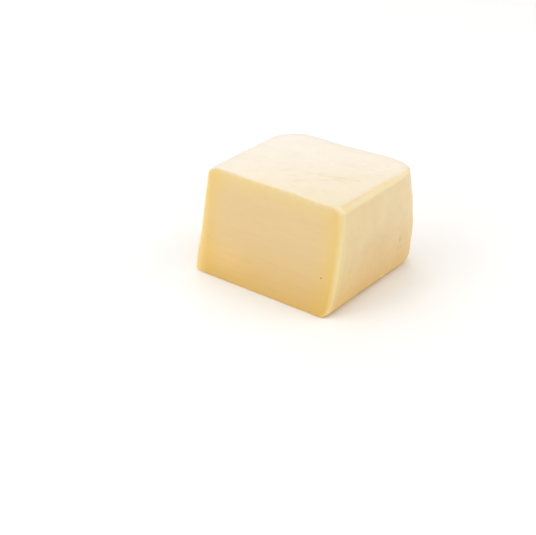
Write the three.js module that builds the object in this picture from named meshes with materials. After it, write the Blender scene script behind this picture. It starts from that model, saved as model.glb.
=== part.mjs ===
// A cut block of low-moisture mozzarella: one end of a moulded loaf, left by a knife stroke across it.
// Millimetres, +Z up. The knife's face looks along -Y and the moulded end along +Y.

import * as THREE from 'three';
import { mergeVertices } from 'three/addons/utils/BufferGeometryUtils.js';

const { clamp, lerp, smoothstep } = THREE.MathUtils;

// Driving dimensions: the loaf
const WIDTH = 142.6; // between the long sides, at the foot of the knife's face
const HEIGHT = 95.6; // at the foot of the knife's face
const LENGTH = 141.5; // from the foot of the knife's face to the moulded end, half way up
const TOP_FALL = 0.032; // drop of the top for each mm towards the moulded end
const TOP_TILT = 0.003; // rise of the top for each mm towards the right
const TOP_CROWN = 1; // rise of the top's middle over its edges
const RIGHT_BULGE = 3; // the right side swells half way up
const RIGHT_DRAW = 0.013; // and draws in for each mm towards the moulded end
const END_LEAN = 0.06; // the moulded end leans in with height
const END_SKEW = 0.044; // the moulded end's right edge lies further back than its left
const END_BULGE = 3.4; // the moulded end swells half way up

// Driving dimensions: the knife stroke
const CUT_LEAN = 0.205; // the stroke leans back with height
const CUT_SKEW = 0.03; // and runs further back at the right

// Edges
const CORNER_RADIUS = 26; // upright corners of the moulded end
const BEVEL_IN = 6.7; // width that the top edge's bevel takes off the top, along the sides
const BEVEL_END_IN = 4.6; // and round the moulded end
const BEVEL_DOWN = 5.2; // height that it takes off the sides, at the knife's face
const BEVEL_END_DOWN = 1; // and at the moulded end
const BEVEL_RADIUS = 0.9; // of the bevel's own two edges, on the right
const BEVEL_SOFT_RADIUS = 3; // and on the left, where they are worn
const BASE_RADIUS = 13.2; // base edge on the right, at the knife's face
const BASE_LEFT_RADIUS = 6; // on the left, at the knife's face
const BASE_END_RADIUS = 10; // and at the moulded end
const BASE_SETTLE = 1.2; // height at the foot of that rounding that the block's weight presses flat
const CUT_RADIUS = 1.8; // knife's edge at the top and base
const CUT_SIDE_RADIUS = 5; // knife's edge at the sides, where the soft rim rolls over
const CUT_FOOT_RADIUS = 3.4; // and at the foot of the sides
const END_REACH = 35; // the bevel changes to the end's width over this length
const RIM_REACH = 12; // the knife's edge changes to the sides' radius over this width

// Slow waves that leave the moulded skin a little uneven: wavelength, direction, depth, start angle
const SKIN_WAVES = [
  { length: 88, turn: 0.5, depth: 0.2, start: 0.4 },
  { length: 57, turn: 1.9, depth: 0.16, start: 2.1 },
  { length: 36, turn: 2.7, depth: 0.1, start: 4.4 },
];

// Fineness of the surface grid: cells across, along and up, crowded into the edges' roundings
const CELLS_ACROSS = 32;
const CELLS_ALONG = 32;
const CELLS_UP = 26;
const CROWDING = 5; // how fast the cells grow away from the edges
const EDGE_CELL = 0.19; // size of the cells at the edges, against even ones
const HALVINGS = 40; // steps of the search along each ray
const REACH = 1.6; // rays end this many times further out than the guide box

// Distance behind the upright through its foot at which the knife passes
function knifeAt(x, z) {
  return CUT_LEAN * z + CUT_SKEW * x;
}

// How far along the block a point lies, from 0 at the knife's foot to 1 at the moulded end
function shareAlong(y) {
  return clamp(y / LENGTH, 0, 1);
}

// Height of the skin's waves at a place (u, v) on a face
function skinWave(u, v) {
  let height = 0;
  for (const { length, turn, depth, start } of SKIN_WAVES) {
    const phase = (2 * Math.PI * (u * Math.cos(turn) + v * Math.sin(turn))) / length;
    height += depth * Math.sin(phase + start);
  }
  return height;
}

// How far a point lies outside each face, below 0 inside
function faceDepths(x, y, z) {
  const across = clamp((2 * x) / WIDTH, -1, 1);
  const along = shareAlong(y);
  const up = clamp(z / HEIGHT, 0, 1);
  const bowAcross = 1 - across * across;
  const bowAlong = 4 * along * (1 - along);
  const bowUp = 4 * up * (1 - up);
  const crown = TOP_CROWN * bowAcross * bowAlong;
  const top = HEIGHT - TOP_FALL * y + TOP_TILT * x + crown + skinWave(x, y);
  const right = WIDTH / 2 - RIGHT_DRAW * y + RIGHT_BULGE * bowUp + skinWave(y, z);
  const left = WIDTH / 2 + skinWave(z, y);
  const end = LENGTH - END_LEAN * z + END_SKEW * x + END_BULGE * (bowUp - 1) + skinWave(z, x);
  return {
    base: -z,
    top: z - top,
    sides: Math.max(x - right, -x - left),
    end: y - end,
    cut: (knifeAt(x, z) - y) / Math.hypot(1, CUT_LEAN, CUT_SKEW),
  };
}

// The part inside both a and b, with the edge between them rounded
function roundMeet(a, b, radius) {
  const rounding = Math.hypot(Math.max(a + radius, 0), Math.max(b + radius, 0));
  return Math.min(Math.max(a, b), -radius) + rounding;
}

// How far a point lies outside the whole block, below 0 inside
function blockDepth(x, y, z) {
  const { base, top, sides, end, cut } = faceDepths(x, y, z);
  const along = shareAlong(y);
  const onRight = smoothstep(x, -WIDTH / 4, WIDTH / 4);
  const nearEnd = smoothstep(end, -END_REACH, 0);
  const nearRim = smoothstep(sides, -RIM_REACH, 0);
  let depth = roundMeet(sides, end, CORNER_RADIUS);
  const bevelIn = lerp(BEVEL_IN, BEVEL_END_IN, nearEnd);
  const bevelDown = lerp(BEVEL_DOWN, BEVEL_END_DOWN, along);
  const bevel = (bevelDown * (depth + bevelIn) + bevelIn * top) / Math.hypot(bevelIn, bevelDown);
  const bevelRadius = lerp(BEVEL_SOFT_RADIUS, BEVEL_RADIUS, onRight);
  depth = roundMeet(roundMeet(depth, bevel, bevelRadius), top, bevelRadius);
  const baseRadius = lerp(lerp(BASE_LEFT_RADIUS, BASE_RADIUS, onRight), BASE_END_RADIUS, along);
  depth = Math.max(roundMeet(depth, base - BASE_SETTLE, baseRadius), base);
  const rimRadius = lerp(CUT_FOOT_RADIUS, CUT_SIDE_RADIUS, smoothstep(z, 0, HEIGHT / 2));
  return roundMeet(depth, cut, lerp(CUT_RADIUS, rimRadius, nearRim));
}

// Moves a grid line from -1 to 1 towards the nearer edge
function crowd(t) {
  const inwards = 1 - Math.abs(t);
  return Math.sign(t) * (1 - lerp(inwards ** CROWDING, inwards, EDGE_CELL));
}

// Point of the guide box, whose front leans with the knife's face
function guidePoint(across, along, up) {
  const x = (WIDTH / 2) * across;
  const z = (HEIGHT / 2) * (up + 1);
  const y = lerp(knifeAt(x, z), LENGTH, (along + 1) / 2);
  return new THREE.Vector3(x, y, z);
}

// Point of the block's skin on the ray from its middle through a guide point
function skinPoint(middle, guide) {
  const ray = guide.clone().sub(middle);
  const point = new THREE.Vector3();
  let inner = 0;
  let outer = REACH;
  for (let step = 0; step < HALVINGS; step += 1) {
    const half = (inner + outer) / 2;
    point.copy(middle).addScaledVector(ray, half);
    if (blockDepth(point.x, point.y, point.z) < 0) {
      inner = half;
    } else {
      outer = half;
    }
  }
  return point;
}

// A box's grid drawn out along rays to the block's skin, centred over its own foot
function blockGeometry() {
  const geometry = new THREE.BoxGeometry(2, 2, 2, CELLS_ACROSS, CELLS_ALONG, CELLS_UP);
  geometry.deleteAttribute('normal');
  geometry.deleteAttribute('uv');
  const grid = geometry.getAttribute('position');
  const middle = guidePoint(0, 0, 0);
  for (let i = 0; i < grid.count; i += 1) {
    const guide = guidePoint(crowd(grid.getX(i)), crowd(grid.getY(i)), crowd(grid.getZ(i)));
    const point = skinPoint(middle, guide);
    grid.setXYZ(i, point.x, point.y, point.z);
  }
  const merged = mergeVertices(geometry);
  merged.computeBoundingBox();
  const centre = merged.boundingBox.getCenter(new THREE.Vector3());
  merged.translate(-centre.x, -centre.y, -merged.boundingBox.min.z);
  merged.computeVertexNormals();
  return merged;
}

const cheese = new THREE.MeshStandardMaterial({ color: 0xf3dcb0, roughness: 0.5, metalness: 0 });

const block = new THREE.Mesh(blockGeometry(), cheese);
block.name = 'cheese_block';

const mozzarella = new THREE.Group();
mozzarella.name = 'mozzarella';
mozzarella.add(block);

export default mozzarella;
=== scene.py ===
"""Looks of a cut block of low-moisture mozzarella, in the solid's own frame, in metres."""

import math

import bmesh
import bpy
import numpy as np
from mathutils import Matrix, Vector
from mathutils.bvhtree import BVHTree


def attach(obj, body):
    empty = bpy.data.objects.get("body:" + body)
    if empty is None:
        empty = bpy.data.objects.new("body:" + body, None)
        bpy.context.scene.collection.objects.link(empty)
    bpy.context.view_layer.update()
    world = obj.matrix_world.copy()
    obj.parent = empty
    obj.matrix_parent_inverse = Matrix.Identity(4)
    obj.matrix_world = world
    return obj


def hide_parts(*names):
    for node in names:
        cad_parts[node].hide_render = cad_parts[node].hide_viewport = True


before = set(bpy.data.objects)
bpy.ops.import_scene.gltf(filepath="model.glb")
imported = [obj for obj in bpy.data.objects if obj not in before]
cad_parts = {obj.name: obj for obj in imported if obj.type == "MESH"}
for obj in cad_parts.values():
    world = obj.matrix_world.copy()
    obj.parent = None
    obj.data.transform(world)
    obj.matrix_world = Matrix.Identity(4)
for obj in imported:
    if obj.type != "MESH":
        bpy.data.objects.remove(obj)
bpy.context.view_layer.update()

NODE = "cheese_block"
MM = 0.001

# The photograph's camera, looking at a point beside the block's middle
PHOTO_WIDTH = 536
SENSOR_WIDTH = 36.0
FOCAL_PIXELS = 1380
VIEW_AZIMUTH = 38.8
VIEW_ELEVATION = 29.8
VIEW_DISTANCE = 1.2032
VIEW_HEIGHT = 0.045
AIM_RIGHT = -0.0369
AIM_UP = -0.0429

# The knife's face: how far it leans back with height and runs back to the right
CUT_LEAN = 0.205
CUT_SKEW = 0.03
CUT_NORMAL = np.array((CUT_SKEW, -1.0, CUT_LEAN)) / math.hypot(1.0, CUT_LEAN, CUT_SKEW)

# Fineness of the surface: cells across, along and up, crowded towards the edges
CELLS = (136, 136, 96)
CROWDING = 1.3

# Rounding away of the solid's facets: subdivisions, and distance at which corners are one, mm
SMOOTH_LEVELS = 2
WELD = 0.01

# Seeds of the random draws, each the first of as many as its kind needs
SKIN_SEED = 11
BLADE_SEED = 21
STREWN_SEED = 40
PIT_SEED = 53
PINHOLE_SEED = 61
LIP_SEED = 71

# Ripples of the moulded skin: wavelength and height, mm
SKIN_RIPPLES = ((30, 0.13), (13, 0.055), (6.5, 0.032), (3.8, 0.02))

# Ripples that the blade leaves across the cut: wavelength up the face and height, mm, and how many
# times longer they are across the face
BLADE_RIPPLES = ((34, 0.1), (9, 0.02), (3.6, 0.01))
BLADE_STRETCH = 9

# Waves that make up each set of ripples: how many, and spread of their lengths
RIPPLE_COUNT = 28
RIPPLE_SPREAD = (0.7, 1.4)

# Creases that the film pressed into the top: x, y of the middle in mm, heading in degrees, length
# in mm, and share of the depth
TOP_CREASES = (
    (23, -4, 29, 68, 1.3),
    (34, -6, 24, 16, 1.2),
    (12, -6, 40, 13, 1),
    (44, 3, 20, 15, 1.2),
    (-1, -23, 22, 14, 0.8),
    (8, -29, 49, 12, 0.8),
    (23, -14, 33, 18, 1.2),
    (-11, -18, 54, 17, 1),
    (0, 1, 87, 11, 0.6),
    (40, -30, 10, 19, 0.6),
    (23, -33, 32, 11, 0.6),
    (-34, -36, 38, 9, 0.8),
    (6, 24, 77, 9, 0.5),
    (12, 30, 84, 10, 0.5),
    (30, 32, 65, 8, 0.5),
    (-48, -8, 20, 15, 0.6),
)

# Finer creases strewn over the faces: how many, mean and spread of the heading, lengths, and shares
# of the depth
TOP_STREWN = (44, 32, 18, (8, 22), (0.08, 0.26))
SIDE_STREWN = (9, 25, 60, (5, 14), (0.08, 0.2))

# Section of a crease: depth and half width in mm, the height of its lips against that depth, and
# their distance from the middle against that half width
CREASE_DEPTH = 0.65
CREASE_WIDTH = 1.1
CREASE_LIP = 0.45
CREASE_LIP_OFF = 2

# Run of a crease: a slow sway, against its length, a quick one in mm, how fast the two turn along
# it, and the share of its length over which each end fades
CREASE_SWAY = 0.035
CREASE_QUIVER = 0.3
SWAY_TURNS = 7
QUIVER_TURNS = 23
CREASE_FADE = 0.3

# Bead along the bevel at the top's right: where it starts and is full, from the middle at the cut,
# and its height, mm; it draws in towards the moulded end with the side
BEAD_SPAN = (65.5, 68.2)
BEAD_HEIGHT = 0.25
RIGHT_DRAW = 0.013

# Pits in the skin: x, y, z of the middle, radius and depth, mm
SKIN_PITS = (
    (71.9, 33.5, 34.0, 1.5, 1.1),
    (71.6, 31.5, 26.7, 1.4, 0.9),
    (71.4, 36.0, 26.0, 1.2, 0.7),
    (72.4, -41.7, 36.5, 2.6, 0.4),
    (65.4, 58.3, 73.0, 5.0, 0.7),
)
LOOSE_PITS = 26
LOOSE_PIT_RADIUS = (0.9, 2.2)
LOOSE_PIT_DEPTH = (0.12, 0.35)
LOOSE_PIT_SKIN = 0.9  # least share of the skin at their places

# Pinholes in the cut: x and z of the middle, radius and depth, mm
CUT_PINHOLES = ((57.8, 33.4, 0.62, 1.1), (-62.2, 34.4, 0.45, 0.6))
LOOSE_PINHOLES = 5
LOOSE_PINHOLE_FIELD = ((-58, 10), (58, 84))
LOOSE_PINHOLE_RADIUS = (0.28, 0.36)
LOOSE_PINHOLE_DEPTH = (0.15, 0.3)
PINHOLE_WALL = (0.55, 1.25)  # from the flat bottom to the rim, against the radius
# Painted shade in the pinholes grows with their depth
PINHOLE_SHADE_PER_MM = 2  # share of the tint for each mm of depth

# Finer quads round the pinholes: how far, against the radius, splits of an edge, and least cosine
# of a face to the cut
PINHOLE_REACH = 3.2
PINHOLE_CUTS = 3
PINHOLE_FACING = 0.98

# Cosines at which a normal starts to count and fully counts: as the cut, the base, a face with
# creases, the top, its bevel within the top, the bevel itself, and the top's rounded far edges
CUT_FACING = (0.55, 0.97)
BASE_FACING = (0.5, 0.9)
CREASED_FACING = (0.6, 0.9)
TOP_FACING = (0.3, 0.7)
BEVEL_START = (0.14, 0.28)
BEVEL_ASIDE = (0.2, 0.45)
BEVEL_UP = (0.3, 0.6)
# Painted light on the top's rounded far edges: where it starts and stops, and where it ends beside the
# cut
FAR_EDGE_START = (0.2, 0.5)
FAR_EDGE_STOP = (0.75, 0.985)
FAR_EDGE_CUT = (0.22, 0.35)

# Outline of the cut: least cosine of its points, and number of places along it
OUTLINE_FACING = 0.5
OUTLINE_BINS = 64

# Painted highlights on the cut's upright edges, over their paler skin, left and right: their shares,
# where they start, in from the outline, and where they end at the foot and at the top, mm
EDGE_SHARES = (0.66, 1)
EDGE_FROM = -1.2
EDGE_ENDS = ((15, 4.5), (4.2, 5.4))

# Their share on the rounding, degrees from the cut at which it starts and is full, degrees at which
# it starts to fade and ends, and the level part of a normal at which an edge counts as upright
EDGE_TURN_SHARE = 0.8
EDGE_TURN = (8, 45)
EDGE_FADE = (55, 88)
EDGE_UPRIGHT = (0.4, 0.75)

# How far the painted edge highlights fade back over the sides, mm, and their share there
EDGE_BACK = 11
EDGE_TAIL = 0.42

# Pale lip along the cut's top: where it starts and ends, down from the edge, its shares at the left
# and right end, how far it wavers and over what length, mm, and cosines of a normal to the cut
LIP_SPAN = (-1, 5.4)
LIP_SHARES = (0.25, 0.85)
LIP_WAVER = 0.6
LIP_WAVER_LENGTH = 7
LIP_FACING = (0.3, 0.8)

# How far the cut's deeper yellow and painted light reach: in from the cut's sides (deeper yellow, part
# painted light through the corners), down from its top (painted light from above) and up from the foot
# (painted warm reflected light and shade), mm
RIM_WIDTH = 30
BROW_HEIGHT = 24
FOOT_HEIGHT = 60
FOOT_POWER = 1.5  # how fast it fades up from the foot

# Share of the foot's painted warm reflected light and shade that is left round the far end and the
# left, how far a normal has turned there, from 1.4 at the right front to -1.4, and the least level part
# of a normal that tells
FOOT_FAR_SHARE = 0.6
FOOT_FAR_FACING = (-1, -0.2)
LEAST_LEVEL = 0.1

# How fast the painted falloff of light and sheen at the near right corner fades towards the far left
# one
NEAR_POWER = 1.5

# Soft patches of tone: a darker one half way up the right side, and painted reflected light low on the
# cut's left: middle and reach, mm
SIDE_PATCH = ((72, 0, 42), (30, 28, 18))
CUT_LIGHT_PATCH = ((-42, -60, 20), (26, 40, 13))

# Colours of the moulded skin, two that its tone lies between, and of what is laid over them
SKIN_COLOURS = ((0.889, 0.735, 0.5), (0.846, 0.698, 0.458))
# Painted falloff of light and sheen: yellower towards the near right corner
SKIN_NEAR_FALLOFF_TINT = (0.98, 0.925, 0.735)
# Painted warm reflected light and shade at the foot
SKIN_FOOT_BOUNCE_TINT = (0.955, 0.77, 0.45)
SIDE_PATCH_TINT = (0.955, 0.925, 0.89)
# Painted shade on the bevel
BEVEL_SHADE_COLOUR = (0.824, 0.68, 0.425)
# Painted highlight along the bead, lighter than the bevel's painted shade
BEAD_HIGHLIGHT_COLOUR = (0.835, 0.71, 0.44)

# Colours of the top, paler and whiter than the sides by painted sheen
TOP_SHEEN_COLOURS = ((0.862, 0.792, 0.703), (0.838, 0.762, 0.663))
# Painted falloff of light and sheen: yellower towards the near right corner
TOP_NEAR_FALLOFF_TINT = (0.91, 0.84, 0.63)
# Painted light from behind and the left on the top's far edges, and its share
FAR_EDGE_LIGHT_COLOUR = (0.95, 0.92, 0.87)
FAR_EDGE_LIGHT_SHARE = 0.6

# Colours of the cut, darker and deeper yellow than the skin by painted shade and warm reflected light
CUT_SHADED_COLOURS = ((0.816, 0.622, 0.339), (0.791, 0.598, 0.319))
# Painted light from above along the cut's top
BROW_LIGHT_COLOUR = (0.836, 0.66, 0.318)
# Deeper yellow in from the cut's sides: part the cheese's own, part painted light through the corners
RIM_TONE_AND_LIGHT_COLOUR = (0.838, 0.618, 0.232)
# Painted warm reflected light and shade at the cut's foot
CUT_FOOT_BOUNCE_TINT = (0.925, 0.82, 0.49)
# Painted reflected light low on the cut's left
CUT_LIGHT_PATCH_TINT = (1.08, 1.075, 1.03)

# Colours over all faces, and their shares
# Painted highlight on the cut's upright edges, over their paler skin
EDGE_HIGHLIGHT_COLOUR = (0.99, 0.825, 0.48)
EDGE_HIGHLIGHT_SHARE = 0.85
LIP_COLOUR = (0.885, 0.775, 0.555)
# Painted shade in the creases
CREASE_SHADE_COLOUR = (0.75, 0.665, 0.52)
CREASE_SHADE_SHARE = 0.5
# Painted shade in the pits
PIT_SHADE_COLOUR = (0.6, 0.4, 0.17)
PIT_SHADE_SHARE = 0.3
# Painted shade in the pinholes
PINHOLE_SHADE_COLOUR = (0.5, 0.33, 0.13)
PINHOLE_SHADE_SHARE = 0.7

# Noise: stretch along x, y and z, scale and detail; and the values that count as its least and most
TONE_NOISE = ((1, 1, 1), 70, 6)
STREAK_NOISE = ((22, 120, 240), 1, 3)
GRAIN_NOISE = ((1, 1, 1), 900, 2)
NOISE_RANGE = (0.3, 0.7)

# Moist, faintly translucent surface
ROUGHNESS = (0.42, 0.54)
GRAIN_STRENGTH = 0.2
GRAIN_HEIGHT = 0.1 * MM
SCATTER_RADIUS = (1, 0.85, 0.6)
SCATTER_SCALE = 2 * MM
REFRACTION = 1.42
GLOSS = 0.4

FLOOR_SIZE = 8.0
FLOOR_DROP = 0.0002
FLOOR_COLOUR = (0.95, 0.94, 0.925)
FLOOR_ROUGHNESS = 0.8

# Soft lights: name, azimuth and elevation in degrees, distance and size in metres, power in watts
LIGHTS = (
    ("top", 0, 88, 1.6, 1.4, 6.2),
    ("back", 219, 40, 1.6, 1.1, 6.8),
    ("right", 130, 45, 1.6, 1.2, 10.2),
    ("left_back", 270, 35, 1.6, 1.1, 4),
    ("left", 320, 40, 1.6, 1.2, 8.4),
    ("front", 55, 30, 1.7, 0.7, 2.4),
    ("left_front", 350, 25, 1.6, 1.0, 5.6),
    ("right_front", 90, 25, 1.6, 1.0, 2.8),
)
SKY_STRENGTH = 0.16


# Shape

def smooth_tree(node):
    """Ray tree of the solid's form with its facets rounded away."""
    form = bmesh.new()
    form.from_mesh(node.data)
    bmesh.ops.remove_doubles(form, verts=form.verts, dist=WELD * MM)
    bmesh.ops.join_triangles(
        form, faces=form.faces, angle_face_threshold=math.pi, angle_shape_threshold=math.pi
    )
    mesh = bpy.data.meshes.new("smooth_form")
    form.to_mesh(mesh)
    form.free()
    guide = bpy.data.objects.new("smooth_form", mesh)
    bpy.context.scene.collection.objects.link(guide)
    rounding = guide.modifiers.new("rounding", "SUBSURF")
    rounding.levels = SMOOTH_LEVELS
    tree = BVHTree.FromObject(guide, bpy.context.evaluated_depsgraph_get())
    bpy.data.objects.remove(guide)
    bpy.data.meshes.remove(mesh)
    return tree


def box_grid(cells):
    """Corners of a box's surface grid, counted along its three sides, and its outward quads."""
    sides = []
    for axis in range(3):
        u = (axis + 1) % 3
        v = (axis + 2) % 3
        first, second = np.meshgrid(np.arange(cells[u]), np.arange(cells[v]), indexing="ij")
        for end in (0, cells[axis]):
            quads = np.full(first.shape + (4, 3), end)
            for corner, (du, dv) in enumerate(((0, 0), (1, 0), (1, 1), (0, 1))):
                quads[..., corner, u] = first + du
                quads[..., corner, v] = second + dv
            quads = quads.reshape(-1, 4, 3)
            sides.append(quads if end else quads[:, ::-1])
    every = np.concatenate(sides)
    corners, numbers = np.unique(every.reshape(-1, 3), axis=0, return_inverse=True)
    return corners, numbers.reshape(-1, 4)


def crowd(t):
    """Moves grid lines from -1 to 1 towards the nearer edge."""
    return np.sign(t) * (1 - (1 - np.abs(t)) ** CROWDING)


def guide_points(node, corners):
    """Points of a guide box round the solid, whose front leans with the cut."""
    solid = np.array([vertex.co for vertex in node.data.vertices])
    low = solid.min(axis=0)
    high = solid.max(axis=0)
    foot = (solid[:, 1] - CUT_LEAN * solid[:, 2] - CUT_SKEW * solid[:, 0]).min()
    place = (crowd(2 * corners / np.array(CELLS) - 1) + 1) / 2
    points = low + place * (high - low)
    front = foot + CUT_LEAN * points[:, 2] + CUT_SKEW * points[:, 0]
    points[:, 1] = front + place[:, 1] * (high[1] - front)
    return points


def skin_points(tree, guides):
    """Points of the form on rays from its middle through the guide points."""
    middle = Vector((guides.min(axis=0) + guides.max(axis=0)) / 2)
    found = [tree.ray_cast(middle, Vector(guide) - middle)[0] for guide in guides]
    return np.array(found)


def block_object(node):
    """The block as an even grid of quads on the solid's form."""
    corners, quads = box_grid(CELLS)
    points = skin_points(smooth_tree(node), guide_points(node, corners))
    mesh = bpy.data.meshes.new("mozzarella_block")
    mesh.from_pydata(points.tolist(), [], quads.tolist())
    block = bpy.data.objects.new("mozzarella_block", mesh)
    bpy.context.scene.collection.objects.link(block)
    return block


# Relief, in mm

def step(values, low, high):
    """0 below low, 1 above high, with a smooth change between."""
    t = np.clip((values - low) / (high - low), 0, 1)
    return t * t * (3 - 2 * t)


def ripples(points, length, seed):
    """Random ripples of about that wavelength, with a mean square of 1."""
    rng = np.random.default_rng(seed)
    ways = rng.normal(size=(RIPPLE_COUNT, 3))
    ways /= np.linalg.norm(ways, axis=1, keepdims=True)
    lengths = length * rng.uniform(*RIPPLE_SPREAD, RIPPLE_COUNT)
    starts = rng.uniform(0, 2 * math.pi, RIPPLE_COUNT)
    phases = 2 * math.pi * points @ (ways / lengths[:, None]).T + starts
    return np.sin(phases).sum(axis=1) * math.sqrt(2 / RIPPLE_COUNT)


def crease(u, v, middle, heading, length):
    """A shallow groove with a raised lip on each side, fading out at both ends; 1 deep."""
    turn = math.radians(heading)
    along = ((u - middle[0]) * math.cos(turn) + (v - middle[1]) * math.sin(turn)) / length
    aside = (v - middle[1]) * math.cos(turn) - (u - middle[0]) * math.sin(turn)
    sway = CREASE_SWAY * length * np.sin(SWAY_TURNS * along + middle[0])
    quiver = CREASE_QUIVER * np.sin(QUIVER_TURNS * along + middle[1])
    off = np.abs(aside - sway - quiver) / CREASE_WIDTH
    fade = step(0.5 - np.abs(along), 0, CREASE_FADE)
    return fade * (np.exp(-off * off) - CREASE_LIP * np.exp(-((off - CREASE_LIP_OFF) ** 2)))


def strewn_creases(u, v, strewn, seed):
    """Fine creases at random places of a face that spans (u, v)."""
    count, heading, heading_spread, lengths, shares = strewn
    rng = np.random.default_rng(seed)
    low = np.array((u.min(), v.min()))
    high = np.array((u.max(), v.max()))
    found = np.zeros(len(u))
    for _ in range(count):
        middle = rng.uniform(low, high)
        way = rng.normal(heading, heading_spread)
        found += rng.uniform(*shares) * crease(u, v, middle, way, rng.uniform(*lengths))
    return found


def film_creases(points, normals):
    """Depth of the film's creases over all moulded faces, against CREASE_DEPTH."""
    x, y, z = points.T
    faces = (
        (normals[:, 2], x, y, TOP_STREWN),
        (normals[:, 0], y, z, SIDE_STREWN),
        (-normals[:, 0], y, z, SIDE_STREWN),
        (normals[:, 1], x, z, SIDE_STREWN),
    )
    found = np.zeros(len(points))
    for number, (facing, u, v, strewn) in enumerate(faces):
        found += step(facing, *CREASED_FACING) * strewn_creases(u, v, strewn, STREWN_SEED + number)
    on_top = step(normals[:, 2], *CREASED_FACING)
    for x_middle, y_middle, heading, length, share in TOP_CREASES:
        found += share * on_top * crease(x, y, (x_middle, y_middle), heading, length)
    return found


def skin_pits(points, skin):
    """Depth of the pits strewn over the moulded faces."""
    rng = np.random.default_rng(PIT_SEED)
    pits = list(SKIN_PITS)
    places = np.flatnonzero(skin > LOOSE_PIT_SKIN)
    for place in rng.choice(places, LOOSE_PITS, replace=False):
        radius = rng.uniform(*LOOSE_PIT_RADIUS)
        pits.append((*points[place], radius, rng.uniform(*LOOSE_PIT_DEPTH)))
    found = np.zeros(len(points))
    for x, y, z, radius, depth in pits:
        off = np.linalg.norm(points - (x, y, z), axis=1) / radius
        found += depth * np.exp(-off * off)
    return found


def pinholes():
    """Places, radii and depths of the pinholes in the cut."""
    rng = np.random.default_rng(PINHOLE_SEED)
    holes = list(CUT_PINHOLES)
    for _ in range(LOOSE_PINHOLES):
        place = rng.uniform(*LOOSE_PINHOLE_FIELD)
        holes.append((*place, rng.uniform(*LOOSE_PINHOLE_RADIUS), rng.uniform(*LOOSE_PINHOLE_DEPTH)))
    return holes


def refine_pinholes(mesh):
    """Splits the cut's quads finely round each pinhole."""
    form = bmesh.new()
    form.from_mesh(mesh)
    form.normal_update()
    holes = pinholes()
    fine = set()
    for face in form.faces:
        if face.normal.dot(Vector(CUT_NORMAL)) < PINHOLE_FACING:
            continue
        x, _, z = face.calc_center_median() / MM
        if any(math.hypot(x - hole[0], z - hole[1]) < PINHOLE_REACH * hole[2] for hole in holes):
            fine.update(face.edges)
    bmesh.ops.subdivide_edges(form, edges=list(fine), cuts=PINHOLE_CUTS, use_grid_fill=True)
    form.to_mesh(mesh)
    form.free()


def hole_depths(points, cut):
    """Depth of the pinholes in the cut."""
    found = np.zeros(len(points))
    for x, z, radius, depth in pinholes():
        off = np.hypot(points[:, 0] - x, points[:, 2] - z) / radius
        found += depth * (1 - step(off, *PINHOLE_WALL))
    return cut * found


# Masks, from 0 to 1

def rim_share(points):
    """1 at the block's sides, falling to 0 at RIM_WIDTH inside them."""
    x = points[:, 0]
    inside = np.minimum(x - x.min(), x.max() - x)
    return step(1 - inside / RIM_WIDTH, 0, 1)


def brow_light_share(points):
    """1 at the block's top, falling to 0 at BROW_HEIGHT below it: where light from above is painted on
    the cut.
    """
    z = points[:, 2]
    return step(z, z.max() - BROW_HEIGHT, z.max())


def foot_bounce_share(points, normals):
    """Painted warm reflected light and shade: 1 at the foot, fading out up the block, and weaker round
    the far end and the left.
    """
    low = np.clip(1 - points[:, 2] / FOOT_HEIGHT, 0, 1) ** FOOT_POWER
    level = np.maximum(np.hypot(normals[:, 0], normals[:, 1]), LEAST_LEVEL)
    facing = (normals[:, 0] - normals[:, 1]) / level
    return low * np.interp(facing, FOOT_FAR_FACING, (FOOT_FAR_SHARE, 1))


def patch_share(points, patch):
    """1 in the middle of a patch, fading out over its reach."""
    middle, reaches = np.array(patch)
    off = (points - middle) / reaches
    return np.exp(-(off * off).sum(axis=1))


def near_falloff_share(points):
    """0 over the top's far left corner, rising to 1 over its near right one: where painted light and
    sheen fall off.
    """
    low = points.min(axis=0)
    high = points.max(axis=0)
    place = (points - low) / (high - low)
    return ((place[:, 0] + 1 - place[:, 1]) / 2) ** NEAR_POWER


def top_share(normals):
    """1 on the top, over its soft edges too, and 0 on the crisp bevel at its right."""
    return step(normals[:, 2], *TOP_FACING) * (1 - step(normals[:, 0], *BEVEL_START))


def far_edge_light_share(normals):
    """1 on the top's soft far edges, where light from behind and the left is painted on."""
    up = normals[:, 2]
    rounded = step(up, *FAR_EDGE_START) * (1 - step(up, *FAR_EDGE_STOP))
    beside_cut = 1 - step(normals @ CUT_NORMAL, *FAR_EDGE_CUT)
    return rounded * beside_cut * (1 - step(normals[:, 0], *BEVEL_START))


def bevel_share(normals):
    """1 on the crisp bevel at the top's right."""
    return step(normals[:, 0], *BEVEL_ASIDE) * step(normals[:, 2], *BEVEL_UP)


def bead_share(points, normals):
    """1 along the bead on the bevel's lower half."""
    across = points[:, 0] + RIGHT_DRAW * (points[:, 1] - points[:, 1].min())
    return bevel_share(normals) * step(across, *BEAD_SPAN)


def reach(along, out):
    """How far out the points reach at each place along a line."""
    ends = np.linspace(along.min(), along.max(), OUTLINE_BINS + 1)
    bins = np.clip(np.digitize(along, ends) - 1, 0, OUTLINE_BINS - 1)
    furthest = np.full(OUTLINE_BINS, out.min())
    np.maximum.at(furthest, bins, out)
    middles = (ends[:-1] + ends[1:]) / 2
    return lambda places: np.interp(places, middles, furthest)


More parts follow.
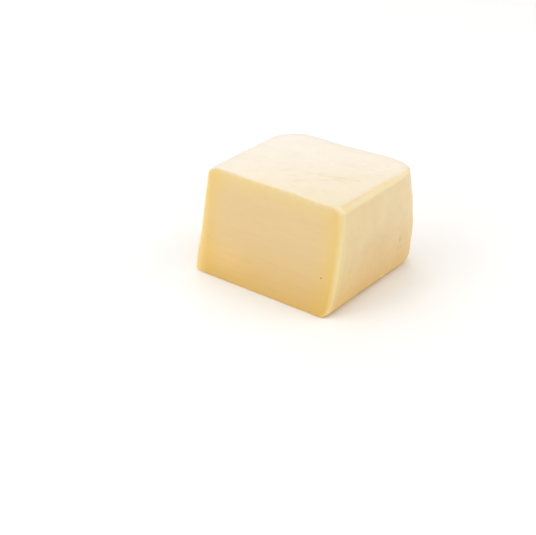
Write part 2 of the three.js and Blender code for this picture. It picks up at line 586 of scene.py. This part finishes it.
def edge_highlight_share(points, normals):
    """1 on the upright edges beside the cut, paler skin with a painted highlight, fading out over its
    face and over the sides.
    """
    forward = normals @ CUT_NORMAL
    aside = np.abs(normals[:, 0])
    x, _, z = points.T
    front = forward > OUTLINE_FACING
    turn = np.degrees(np.arctan2(aside, forward))
    rise = EDGE_TURN_SHARE * step(turn, *EDGE_TURN)
    gaps = (x + reach(z[front], -x[front])(z), reach(z[front], x[front])(z) - x)
    for gap, share, ends in zip(gaps, EDGE_SHARES, EDGE_ENDS):
        end = np.interp(z, (0, z.max()), ends)
        rise = np.maximum(rise, share * (1 - step(gap, EDGE_FROM, end)))
    depth = (points @ CUT_NORMAL).max() - points @ CUT_NORMAL
    tail = EDGE_TAIL * (1 - step(depth, 0, EDGE_BACK))
    upright = step(np.hypot(aside, forward), *EDGE_UPRIGHT)
    return upright * rise * np.maximum(1 - step(turn, *EDGE_FADE), tail)


def lip_share(points, normals):
    """1 on the cut's paler top edge, fading out down its face."""
    forward = normals @ CUT_NORMAL
    x, _, z = points.T
    front = forward > OUTLINE_FACING
    waver = LIP_WAVER * ripples(points, LIP_WAVER_LENGTH, LIP_SEED)
    below = reach(x[front], z[front])(x) - z + waver
    share = np.interp(x, (x.min(), x.max()), LIP_SHARES)
    return share * step(forward, *LIP_FACING) * (1 - step(below, *LIP_SPAN))


# The block's mesh

def mesh_arrays(mesh):
    """Vertex places in mm and vertex normals."""
    points = np.zeros(3 * len(mesh.vertices))
    normals = np.zeros(3 * len(mesh.vertices))
    mesh.vertices.foreach_get("co", points)
    mesh.vertex_normals.foreach_get("vector", normals)
    return points.reshape(-1, 3) / MM, normals.reshape(-1, 3)


def save_masks(mesh, masks):
    """Keeps numbers for each vertex, for the material to read."""
    for name, values in masks.items():
        mask = mesh.attributes.new(name, "FLOAT", "POINT")
        mask.data.foreach_set("value", values.astype(np.float32))


def carve(block):
    """Presses the skin's and the blade's relief into the block, and keeps the masks."""
    mesh = block.data
    refine_pinholes(mesh)
    points, normals = mesh_arrays(mesh)
    cut = step(normals @ CUT_NORMAL, *CUT_FACING)
    base = step(-normals[:, 2], *BASE_FACING)
    skin = (1 - cut) * (1 - base)
    creases = film_creases(points, normals)
    holes = hole_depths(points, cut)
    pits = skin_pits(points, skin)
    bead = bead_share(points, normals)
    height = BEAD_HEIGHT * bead
    for number, (length, size) in enumerate(SKIN_RIPPLES):
        height += skin * size * ripples(points, length, SKIN_SEED + number)
    stretched = points / (BLADE_STRETCH, BLADE_STRETCH, 1)
    for number, (length, size) in enumerate(BLADE_RIPPLES):
        height += cut * size * ripples(stretched, length, BLADE_SEED + number)
    height -= skin * (CREASE_DEPTH * creases + pits)
    height -= holes
    moved = (points + height[:, None] * normals) * MM
    moved[:, 2] = np.maximum(moved[:, 2], 0)
    mesh.vertices.foreach_set("co", moved.ravel())
    mesh.polygons.foreach_set("use_smooth", np.ones(len(mesh.polygons), bool))
    mesh.update()
    save_masks(mesh, {
        "cut": cut,
        "top": top_share(normals),
        "near": near_falloff_share(points),
        "edge": edge_highlight_share(points, normals),
        "lip": lip_share(points, normals),
        "far_edge_light": far_edge_light_share(normals),
        "bevel": bevel_share(normals),
        "bead": bead,
        "pit": np.clip(skin * pits, 0, 1),
        "crease": np.clip(skin * creases, 0, 1),
        "hole": np.clip(PINHOLE_SHADE_PER_MM * holes, 0, 1),
        "rim": rim_share(points),
        "brow": brow_light_share(points),
        "foot": foot_bounce_share(points, normals),
        "side_patch": patch_share(points, SIDE_PATCH),
        "cut_light_patch": patch_share(points, CUT_LIGHT_PATCH),
    })


# Materials

def add_node(tree, kind, inputs=(), **settings):
    """A shader node with its settings and input values."""
    made = tree.nodes.new(kind)
    for name, value in settings.items():
        setattr(made, name, value)
    for name, value in inputs:
        made.inputs[name].default_value = value
    return made


def spread(tree, value, limits, out_limits):
    """Stretches a value's range to another."""
    names = ("From Min", "From Max", "To Min", "To Max")
    made = add_node(tree, "ShaderNodeMapRange", zip(names, (*limits, *out_limits)))
    tree.links.new(value, made.inputs["Value"])
    return made.outputs["Result"]


def noise(tree, coords, stretch, scale, detail):
    """Noise in the block's own coordinates, stretched along its axes."""
    place = add_node(tree, "ShaderNodeMapping", (("Scale", stretch),))
    tree.links.new(coords, place.inputs["Vector"])
    made = add_node(tree, "ShaderNodeTexNoise", (("Scale", scale), ("Detail", detail)))
    tree.links.new(place.outputs["Vector"], made.inputs["Vector"])
    return made.outputs["Fac"]


def mix_colours(tree, factor, first, second, blend="MIX"):
    """A colour between two others, each a colour or a node's output."""
    made = add_node(tree, "ShaderNodeMix", data_type="RGBA", blend_type=blend)
    tree.links.new(factor, made.inputs["Factor"])
    for name, colour in (("A", first), ("B", second)):
        socket = next(i for i in made.inputs if i.name == name and i.type == "RGBA")
        if isinstance(colour, tuple):
            socket.default_value = (*colour, 1)
        else:
            tree.links.new(colour, socket)
    return next(o for o in made.outputs if o.type == "RGBA")


def laid_over(tree, under, mask, colour, share=1, blend="MIX"):
    """A colour with another laid over it by a share of a mask that the mesh keeps."""
    factor = add_node(tree, "ShaderNodeAttribute", attribute_name=mask).outputs["Fac"]
    if share < 1:
        factor = spread(tree, factor, (0, 1), (0, share))
    return mix_colours(tree, factor, under, colour, blend)


def tinted(tree, under, mask, tint):
    """A colour multiplied by a tint where a mask that the mesh keeps is 1."""
    return laid_over(tree, under, mask, tint, blend="MULTIPLY")


def skin_colour(tree, tone):
    """Colour of the moulded sides and the bevel, with painted light: falloff towards the near corner,
    warm reflected light and shade at the foot, shade on the bevel and a highlight along its bead.
    """
    skin = mix_colours(tree, tone, *SKIN_COLOURS)
    skin = tinted(tree, skin, "near", SKIN_NEAR_FALLOFF_TINT)
    skin = tinted(tree, skin, "foot", SKIN_FOOT_BOUNCE_TINT)
    skin = tinted(tree, skin, "side_patch", SIDE_PATCH_TINT)
    skin = laid_over(tree, skin, "bevel", BEVEL_SHADE_COLOUR)
    return laid_over(tree, skin, "bead", BEAD_HIGHLIGHT_COLOUR)


def top_sheen_colour(tree, tone):
    """Colour of the top, paler and whiter by painted sheen, with painted light falling off towards the
    near corner and painted light on the far edges.
    """
    sheened_top = mix_colours(tree, tone, *TOP_SHEEN_COLOURS)
    sheened_top = tinted(tree, sheened_top, "near", TOP_NEAR_FALLOFF_TINT)
    return laid_over(tree, sheened_top, "far_edge_light", FAR_EDGE_LIGHT_COLOUR, FAR_EDGE_LIGHT_SHARE)


def cut_shaded_colour(tree, streak):
    """Colour of the cut, darkened and yellowed by painted shade and warm reflected light, with painted
    light at its top, sides, foot and lower left.
    """
    shaded_cut = mix_colours(tree, streak, *CUT_SHADED_COLOURS)
    shaded_cut = laid_over(tree, shaded_cut, "brow", BROW_LIGHT_COLOUR)
    shaded_cut = laid_over(tree, shaded_cut, "rim", RIM_TONE_AND_LIGHT_COLOUR)
    shaded_cut = tinted(tree, shaded_cut, "foot", CUT_FOOT_BOUNCE_TINT)
    return tinted(tree, shaded_cut, "cut_light_patch", CUT_LIGHT_PATCH_TINT)


def cheese_material():
    """Moist, faintly translucent cheese: pale moulded skin, and a deeper yellow cut darkened by painted
    shade and warm reflected light.
    """
    material = bpy.data.materials.new("cheese")
    material.use_nodes = True
    tree = material.node_tree
    shader = tree.nodes["Principled BSDF"]
    coords = add_node(tree, "ShaderNodeTexCoord").outputs["Object"]
    tone = spread(tree, noise(tree, coords, *TONE_NOISE), NOISE_RANGE, (0, 1))
    streak = spread(tree, noise(tree, coords, *STREAK_NOISE), NOISE_RANGE, (0, 1))
    grain = noise(tree, coords, *GRAIN_NOISE)

    # The top, whitened by painted sheen, over the skin
    colour = laid_over(tree, skin_colour(tree, tone), "top", top_sheen_colour(tree, tone))
    # The cut, darkened and yellowed by painted shade and warm reflected light
    colour = laid_over(tree, colour, "cut", cut_shaded_colour(tree, streak))
    # Painted highlight on the cut's upright edges, over their paler skin
    colour = laid_over(tree, colour, "edge", EDGE_HIGHLIGHT_COLOUR, EDGE_HIGHLIGHT_SHARE)
    colour = laid_over(tree, colour, "lip", LIP_COLOUR)
    # Painted shade in the creases
    colour = laid_over(tree, colour, "crease", CREASE_SHADE_COLOUR, CREASE_SHADE_SHARE)
    # Painted shade in the pinholes and pits' kin: the pits
    colour = laid_over(tree, colour, "pit", PIT_SHADE_COLOUR, PIT_SHADE_SHARE)
    # Painted shade in the pinholes
    colour = laid_over(tree, colour, "hole", PINHOLE_SHADE_COLOUR, PINHOLE_SHADE_SHARE)
    tree.links.new(colour, shader.inputs["Base Color"])

    tree.links.new(spread(tree, grain, NOISE_RANGE, ROUGHNESS), shader.inputs["Roughness"])
    bump = add_node(tree, "ShaderNodeBump", (("Strength", GRAIN_STRENGTH), ("Distance", GRAIN_HEIGHT)))
    tree.links.new(grain, bump.inputs["Height"])
    tree.links.new(bump.outputs["Normal"], shader.inputs["Normal"])

    shader.inputs["Subsurface Weight"].default_value = 1
    shader.inputs["Subsurface Radius"].default_value = SCATTER_RADIUS
    shader.inputs["Subsurface Scale"].default_value = SCATTER_SCALE
    shader.inputs["IOR"].default_value = REFRACTION
    shader.inputs["Specular IOR Level"].default_value = GLOSS
    return material


def floor_material():
    """Plain matt white."""
    material = bpy.data.materials.new("floor")
    material.use_nodes = True
    shader = material.node_tree.nodes["Principled BSDF"]
    shader.inputs["Base Color"].default_value = (*FLOOR_COLOUR, 1)
    shader.inputs["Roughness"].default_value = FLOOR_ROUGHNESS
    return material


# Studio

def floor_object():
    """A wide flat floor just under the block."""
    half = FLOOR_SIZE / 2
    corners = [(x * half, y * half, -FLOOR_DROP) for x, y in ((-1, -1), (1, -1), (1, 1), (-1, 1))]
    mesh = bpy.data.meshes.new("floor")
    mesh.from_pydata(corners, [], [(0, 1, 2, 3)])
    made = bpy.data.objects.new("floor", mesh)
    made.data.materials.append(floor_material())
    bpy.context.scene.collection.objects.link(made)
    return made


def direction(azimuth, elevation):
    """Unit vector away from the block, at degrees round to the right of the cut and above the floor."""
    turn = math.radians(azimuth)
    rise = math.radians(elevation)
    return Vector((math.sin(turn) * math.cos(rise), -math.cos(turn) * math.cos(rise), math.sin(rise)))


def area_light(name, azimuth, elevation, distance, size, power):
    """A square soft light that looks at the block."""
    away = direction(azimuth, elevation)
    data = bpy.data.lights.new(name, "AREA")
    data.size = size
    data.energy = power
    lamp = bpy.data.objects.new(name, data)
    lamp.location = Vector((0, 0, VIEW_HEIGHT)) + distance * away
    lamp.rotation_euler = away.to_track_quat("Z", "Y").to_euler()
    bpy.context.scene.collection.objects.link(lamp)


def studio():
    """Soft white light from above and from all round."""
    for light in LIGHTS:
        area_light(*light)
    world = bpy.data.worlds.new("studio")
    world.use_nodes = True
    sky = world.node_tree.nodes["Background"]
    sky.inputs["Color"].default_value = (1, 1, 1, 1)
    sky.inputs["Strength"].default_value = SKY_STRENGTH
    scene = bpy.context.scene
    scene.world = world
    scene.view_settings.view_transform = "Standard"
    scene.view_settings.look = "None"
    scene.view_settings.exposure = 0
    scene.view_settings.gamma = 1


def photo_camera():
    """The camera at the photograph's place."""
    turn = math.radians(VIEW_AZIMUTH)
    back = direction(VIEW_AZIMUTH, VIEW_ELEVATION)
    right = Vector((math.cos(turn), math.sin(turn), 0))
    up = back.cross(right)
    data = bpy.data.cameras.new("photo_camera")
    data.sensor_width = SENSOR_WIDTH
    data.lens = SENSOR_WIDTH * FOCAL_PIXELS / PHOTO_WIDTH
    camera = bpy.data.objects.new("photo_camera", data)
    aim = Vector((0, 0, VIEW_HEIGHT)) + AIM_RIGHT * right + AIM_UP * up
    camera.location = aim + VIEW_DISTANCE * back
    camera.rotation_euler = Matrix((right, up, back)).transposed().to_euler()
    bpy.context.scene.collection.objects.link(camera)
    bpy.context.scene.camera = camera


photo_camera()
studio()
floor_object()

block = block_object(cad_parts[NODE])
carve(block)
block.data.materials.append(cheese_material())
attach(block, "root")
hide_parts(NODE)
